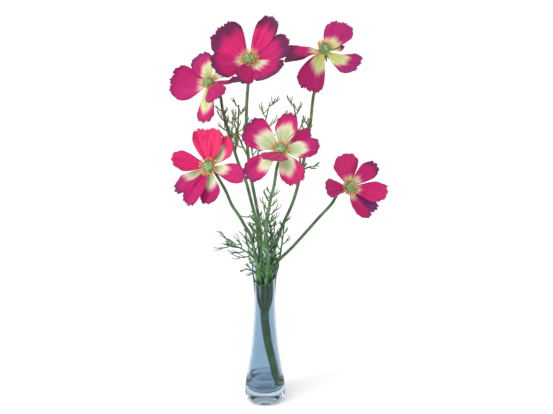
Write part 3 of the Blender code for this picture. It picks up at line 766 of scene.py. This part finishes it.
STREAKS = [(1, 7, 30), (0.6, 15, 70)]  # strength, how closely they follow each other, and their shift
THROAT_FULL = 1.1
THROAT_ROUND = 0.5
THROAT_FADE = (-0.34, 0.25)  # the throat's pale dye fades out over this stretch round its reach
TIP_ROUND = 0.25
TIP_FADE = (-0.16, 0.3)  # the same for the dark dye round the start of the tip
RIM = (0.9, 1)  # the darker line along the cut edge, as shares of the half width or of the length
RIM_START = (0.2, 0.5)  # it comes in over this stretch up from the claw
RIM_DARK = 0.35  # how much darker the cut edge takes the dye
THROAT_STREAK = 0.02
TIP_STREAK = 0.1
TONE_STREAK = 0.04


def smooth_step(low, high, value):
    """A smooth rise from 0 at the low value to 1 at the high one."""
    share = np.clip((value - low) / (high - low), 0, 1)
    return share * share * (3 - 2 * share)


def petal_dye(petal, phase, t, s):
    """How a petal is dyed at each point, from 0 to 1: pale, dark, its tone, and the throat's yellow."""
    streak = sum(strength * np.sin(over * s + shift * phase) for strength, over, shift in STREAKS)
    throat = petal.throat * (THROAT_FULL - THROAT_ROUND * (s - petal.aside) ** 2) + THROAT_STREAK * streak
    pale = smooth_step(*THROAT_FADE, throat - t) * (petal.throat > 0)
    start = 1 - petal.tip * (1 + TIP_ROUND * np.abs(s) ** 3 + TIP_STREAK * streak)
    dark = smooth_step(*TIP_FADE, t - start) * (petal.tip > 0)
    rim = smooth_step(*RIM, np.maximum(np.abs(s), t)) * smooth_step(*RIM_START, t) * RIM_DARK
    tone = np.clip(petal.tone + TONE_STREAK * streak, 0, 1)
    return np.column_stack([pale, np.maximum(dark, rim), tone, np.full_like(t, petal.yellow)])


bpy.ops.object.select_all(action="DESELECT")
bpy.ops.mesh.primitive_grid_add(x_subdivisions=PETAL_COLUMNS, y_subdivisions=PETAL_ROWS, size=2)
petal_blank = bpy.context.object
corners = np.empty(3 * len(petal_blank.data.vertices))
petal_blank.data.vertices.foreach_get("co", corners)
corners = corners.reshape(-1, 3)
BLANK_S, BLANK_T = corners[:, 0], (corners[:, 1] + 1) / 2


def cut_petal(petal, length, phase):
    """One petal pressed to shape from the flat blank, with its dye."""
    piece = petal_blank.copy()
    piece.data = petal_blank.data.copy()
    bpy.context.collection.objects.link(piece)
    points = petal_points(petal, length, phase, BLANK_T, BLANK_S) * MM
    piece.data.vertices.foreach_set("co", points.ravel())
    dye = piece.data.color_attributes.new("dye", "FLOAT_COLOR", "POINT")
    dye.data.foreach_set("color", petal_dye(petal, phase, BLANK_T, BLANK_S).ravel())
    return piece


# Polyester satin, heat-set and airbrushed: a soft sheen, fine lengthwise veins pressed in, and dye that
# runs along them where the throat and the tip fade into the magenta. Broad lengthwise bands of painted light
# and shade stand for the pleats, and shift those fades as well.
petal_cloth, tree, shader = new_material("airbrushed_polyester_petal")
dye = add(tree, "VertexColor", layer_name="dye").outputs
share = add(tree, "SeparateColor", {"Color": dye["Color"]}).outputs
flat = add(tree, "UVMap", uv_map="UVMap").outputs["UV"]
narrow = add(tree, "Mapping", {"Vector": flat, "Scale": (46, 1.4, 1)}).outputs["Vector"]
veins = add(tree, "TexNoise", {"Vector": narrow, "Scale": 1, "Detail": 4, "Roughness": 0.6}).outputs["Fac"]
# Painted light and shade of the pleats: broad lengthwise bands that lighten and darken the dye.
broad = add(tree, "Mapping", {"Vector": flat, "Scale": (9, 1.5, 1)}).outputs["Vector"]
pleat_shade_bands = add(tree, "TexNoise", {"Vector": broad, "Scale": 1, "Detail": 2}).outputs["Fac"]
middle = {"From Min": 0.3, "From Max": 0.7}
painted_pleat_shade = add(tree, "MapRange", {"Value": pleat_shade_bands, **middle, "To Min": -0.12, "To Max": 0.12})
vein_run = add(tree, "MapRange", {"Value": veins, **middle, "To Min": -0.09, "To Max": 0.09})
# The painted pleat shade and the veins, added together: they shift where the dark tip begins.
runs = add(tree, "Math", {0: painted_pleat_shade.outputs["Result"], 1: vein_run.outputs["Result"]})

# The magenta by the petal's tone, made lighter and darker along the painted pleat shade, and the pale throat
# washed over it, which the painted pleat shade also widens and narrows.
shade = add(tree, "Math", {0: share["Blue"], 1: painted_pleat_shade.outputs["Result"]})
magentas = [(0, "#7E1560"), (0.3, "#A51662"), (0.5, "#B91863"), (0.7, "#CA2066"), (1, "#DE3066")]
magenta = add(tree, "ValToRGB", {"Fac": shade.outputs["Value"]}, magentas)
faded = add(tree, "Math", {0: painted_pleat_shade.outputs["Result"], 1: 0.6, 2: share["Red"]}, operation="MULTIPLY_ADD")
pale = faded.outputs["Value"]
creams = [(0.1, "#CC6C86"), (0.42, "#D6ACAC"), (0.68, "#D0D2B4"), (1, "#B0BE97")]
yellows = [(0.1, "#C4647A"), (0.42, "#CCA190"), (0.68, "#C8CB86"), (1, "#BBC36E")]
cool = add(tree, "ValToRGB", {"Fac": pale}, creams)
warm = add(tree, "ValToRGB", {"Fac": pale}, yellows)
throat = {"Factor": dye["Alpha"], "A": cool.outputs["Color"], "B": warm.outputs["Color"]}
throat = add(tree, "Mix", throat, data_type="RGBA").outputs["Result"]
throat_reach = {"Value": pale, "From Min": 0.1, "From Max": 0.62}
wash = add(tree, "MapRange", throat_reach, interpolation_type="SMOOTHSTEP")
washed = {"Factor": wash.outputs["Result"], "A": magenta.outputs["Color"], "B": throat}
washed = add(tree, "Mix", washed, data_type="RGBA").outputs["Result"]

# The dark tip over both.
tip_dyes = [(0, "#6C286B"), (0.4, "#591D4D"), (1, "#521B36")]
tip_dye = add(tree, "ValToRGB", {"Fac": share["Blue"]}, tip_dyes)
dark = add(tree, "Math", {0: share["Green"], 1: runs.outputs["Value"]}).outputs["Value"]
tip_reach = {"Value": dark, "From Min": 0.1, "To Max": 0.93}
cover = add(tree, "MapRange", tip_reach, interpolation_type="SMOOTHSTEP")
tipped = {"Factor": cover.outputs["Result"], "A": washed, "B": tip_dye.outputs["Color"]}
tipped = add(tree, "Mix", tipped, data_type="RGBA").outputs["Result"]

# The stained heart round the disc, and the veins over all.
along = add(tree, "SeparateXYZ", {"Vector": flat}).outputs["Y"]
heart_reach = {"Value": along, "From Min": 0.04, "From Max": 0.2, "To Min": 0.7, "To Max": 0}
heart = add(tree, "MapRange", heart_reach, interpolation_type="SMOOTHSTEP")
heart_dyes = [(0.2, "#C2A85E"), (0.55, "#C89556"), (1, "#C2583F")]
heart_dye = add(tree, "ValToRGB", {"Fac": share["Blue"]}, heart_dyes)
stained = {"Factor": heart.outputs["Result"], "A": tipped, "B": heart_dye.outputs["Color"]}
stained = add(tree, "Mix", stained, data_type="RGBA").outputs["Result"]
vein_light = {"Value": veins, "From Min": 0.35, "From Max": 0.65, "To Min": 0.91, "To Max": 1.05}
lines = add(tree, "MapRange", vein_light)
lined = {"Factor": 1, "A": stained, "B": lines.outputs["Result"]}
lined = add(tree, "Mix", lined, data_type="RGBA", blend_type="MULTIPLY")
pressed = add(tree, "Bump", {"Height": veins, "Strength": 0.4, "Distance": 0.0004})
tree.links.new(lined.outputs["Result"], shader.inputs["Base Color"])
tree.links.new(pressed.outputs["Normal"], shader.inputs["Normal"])
shader.inputs["Roughness"].default_value = 0.6
shader.inputs["Sheen Weight"].default_value = 0.06
shader.inputs["Sheen Roughness"].default_value = 0.5
shader.inputs["Specular IOR Level"].default_value = 0.2

for number, bloom in enumerate(BLOOMS, start=1):
    draw = random.Random(number)
    cut = [cut_petal(petal, bloom.length * petal.length, draw.random()) for petal in bloom.petals]
    blades = join(cut, f"bloom_{number}_petal_blades")
    move_points(blades, bloom_space(bloom))
    cloth = blades.modifiers.new("cloth", "SOLIDIFY")
    cloth.thickness = CLOTH_THICK * MM
    cloth.offset = 0
    bpy.ops.object.modifier_apply(modifier="cloth")
    bpy.ops.object.shade_smooth_by_angle(angle=SHARP)
    blades.data.materials.append(petal_cloth)
    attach(blades, "root")
    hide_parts(f"bloom_{number}_petals")
bpy.data.objects.remove(petal_blank)

# ---- discs --------------------------------------------------------------------------------------
# The disc at a bloom's heart: a green foam dome packed with small florets, which sit on a spiral as
# on the real flower.

DISC_PROFILE = [(-1.4, 6.0), (0.3, 5.6), (2.0, 5.9), (3.6, 6.1), (4.8, 5.0), (5.5, 3.2), (5.8, 1.0)]
DISC_SIDES = 32
TALL_BLOOM = 3  # this bloom is riper: its disc stands taller, and stamens are left only behind it
TALL_DISC = 1.45
FLORETS = 130
FLORET_SIZE = 0.62
GOLDEN_TURN = math.pi * (3 - math.sqrt(5))
DOME_TURN = math.radians(105)
DOME_FOOT = 1.9
DOME_HEIGHT = 3.9
DOME_RADIUS = 6.1


def dome_place(share):
    """Height and radius on the dome, from its crown (0) down past its widest ring (1)."""
    angle = share * DOME_TURN
    return DOME_FOOT + DOME_HEIGHT * math.cos(angle), DOME_RADIUS * math.sin(min(angle, math.pi / 2))


bpy.ops.object.select_all(action="DESELECT")
bpy.ops.mesh.primitive_ico_sphere_add(subdivisions=1, radius=FLORET_SIZE * MM)
floret = bpy.context.object

# Foam dipped in green flock: dull, speckled dark and light over 2 to 3 mm, and rough to the touch.
disc_green, tree, shader = new_material("flocked_green_foam")
place = add(tree, "TexCoord").outputs["Object"]
grains = add(tree, "TexNoise", {"Vector": place, "Scale": 420, "Detail": 3})
colour = add(tree, "ValToRGB", {"Fac": grains.outputs["Fac"]}, [(0.36, "#4A7447"), (0.64, "#98B47E")])
bump = add(tree, "Bump", {"Height": grains.outputs["Fac"], "Strength": 0.5, "Distance": 0.0004})
tree.links.new(colour.outputs["Color"], shader.inputs["Base Color"])
tree.links.new(bump.outputs["Normal"], shader.inputs["Normal"])
shader.inputs["Roughness"].default_value = 0.85

for number, bloom in enumerate(BLOOMS, start=1):
    tall = TALL_DISC if number == TALL_BLOOM else 1
    dome = turned("dome", [(height * tall, radius) for height, radius in DISC_PROFILE], DISC_SIDES)
    grown = [dome]
    for i in range(FLORETS):
        height, radius = dome_place(math.sqrt((i + 0.5) / FLORETS))
        place = spoke(i * GOLDEN_TURN) * radius + UP * height * tall
        bud = floret.copy()
        bud.data = floret.data.copy()
        bud.data.transform(Matrix.Translation(place * MM))
        bpy.context.collection.objects.link(bud)
        grown.append(bud)
    disc = join(grown, f"bloom_{number}_floret_disc")
    move_points(disc, bloom_space(bloom))
    disc.data.materials.clear()
    disc.data.materials.append(disc_green)
    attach(disc, "root")
    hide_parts(f"bloom_{number}_disc")
bpy.data.objects.remove(floret)

# ---- stamens ------------------------------------------------------------------------------------
# A ring of short stamens stands round each disc, cut from stiff dyed thread and dipped in flock: orange
# threads with yellow to red heads. Behind the tall disc they stand taller.

STAMENS = 60
STAMEN_SEED = 200
STAMEN_FOOT = (4.8, 1.2)
STAMEN_REACH = (6.6, 10.4)
STAMEN_RISE = (1.8, 7.4)
STAMEN_STRAY = 0.3  # how far one strays to either side, as a share of the gap between two
STAMEN_BOW = 0.8
STAMEN_ROUNDNESS = 1
TALL_REACH = (5.8, 8.6)
TALL_RISE = (6, 10)
TALL_SPREAD = 0.6  # share of the ring left behind the tall disc
FILAMENT_RADII = (0.28, 0.24)
HEAD_RADII = (0.3, 0.55, 0.5, 0.2)
HEAD_SHARE = 0.16  # distance between two of a head's radii, as a share of the thread's upper half

# Stiff thread, dyed unevenly from red to pink over 5 mm, with a dull surface.
filament_thread, tree, shader = new_material("dyed_stamen_thread")
place = add(tree, "TexCoord").outputs["Object"]
patch = add(tree, "TexNoise", {"Vector": place, "Scale": 200, "Detail": 1}).outputs["Fac"]
thread_dye = add(tree, "ValToRGB", {"Fac": patch}, [(0.35, "#C4583C"), (0.5, "#DC9A50"), (0.65, "#E2B0A0")])
tree.links.new(thread_dye.outputs["Color"], shader.inputs["Base Color"])
shader.inputs["Roughness"].default_value = 0.6

# Flock on glue: quite matt, yellow on most heads and red on some.
head_flock, tree, shader = new_material("flocked_stamen_head")
place = add(tree, "TexCoord").outputs["Object"]
patch = add(tree, "TexNoise", {"Vector": place, "Scale": 330, "Detail": 1}).outputs["Fac"]
head_dye = add(tree, "ValToRGB", {"Fac": patch}, [(0.35, "#B8423C"), (0.5, "#E0A83E"), (0.65, "#EBDC86")])
tree.links.new(head_dye.outputs["Color"], shader.inputs["Base Color"])
shader.inputs["Roughness"].default_value = 0.85

for number, bloom in enumerate(BLOOMS, start=1):
    draw = random.Random(STAMEN_SEED + number)
    space = bloom_space(bloom)
    reach, rise, spread = STAMEN_REACH, STAMEN_RISE, 1
    if number == TALL_BLOOM:
        reach, rise, spread = TALL_REACH, TALL_RISE, TALL_SPREAD
    filament_lines, head_lines = [], []
    for i in range(STAMENS):
        out = spoke(spread * 2 * math.pi * (i + draw.uniform(-STAMEN_STRAY, STAMEN_STRAY)) / STAMENS)
        foot = out * STAMEN_FOOT[0] + UP * STAMEN_FOOT[1]
        tip = out * draw.uniform(*reach) + UP * draw.uniform(*rise)
        bend = foot.lerp(tip, 0.5) + UP * draw.uniform(0, STAMEN_BOW)
        filament_lines.append(tapered([space @ p for p in (foot, bend, tip)], FILAMENT_RADII))
        head = []
        for k, radius in enumerate(HEAD_RADII):
            head.append((space @ bend.lerp(tip, 1 + HEAD_SHARE * (k - 1)), radius))
        head_lines.append(head)
    filaments = rods("filaments", filament_lines, STAMEN_ROUNDNESS)
    filaments.data.materials.append(filament_thread)
    heads = rods("heads", head_lines, STAMEN_ROUNDNESS)
    heads.data.materials.append(head_flock)
    stamens = join([filaments, heads], f"bloom_{number}_stamens")
    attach(stamens, "root")
    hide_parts(f"bloom_{number}_disc")
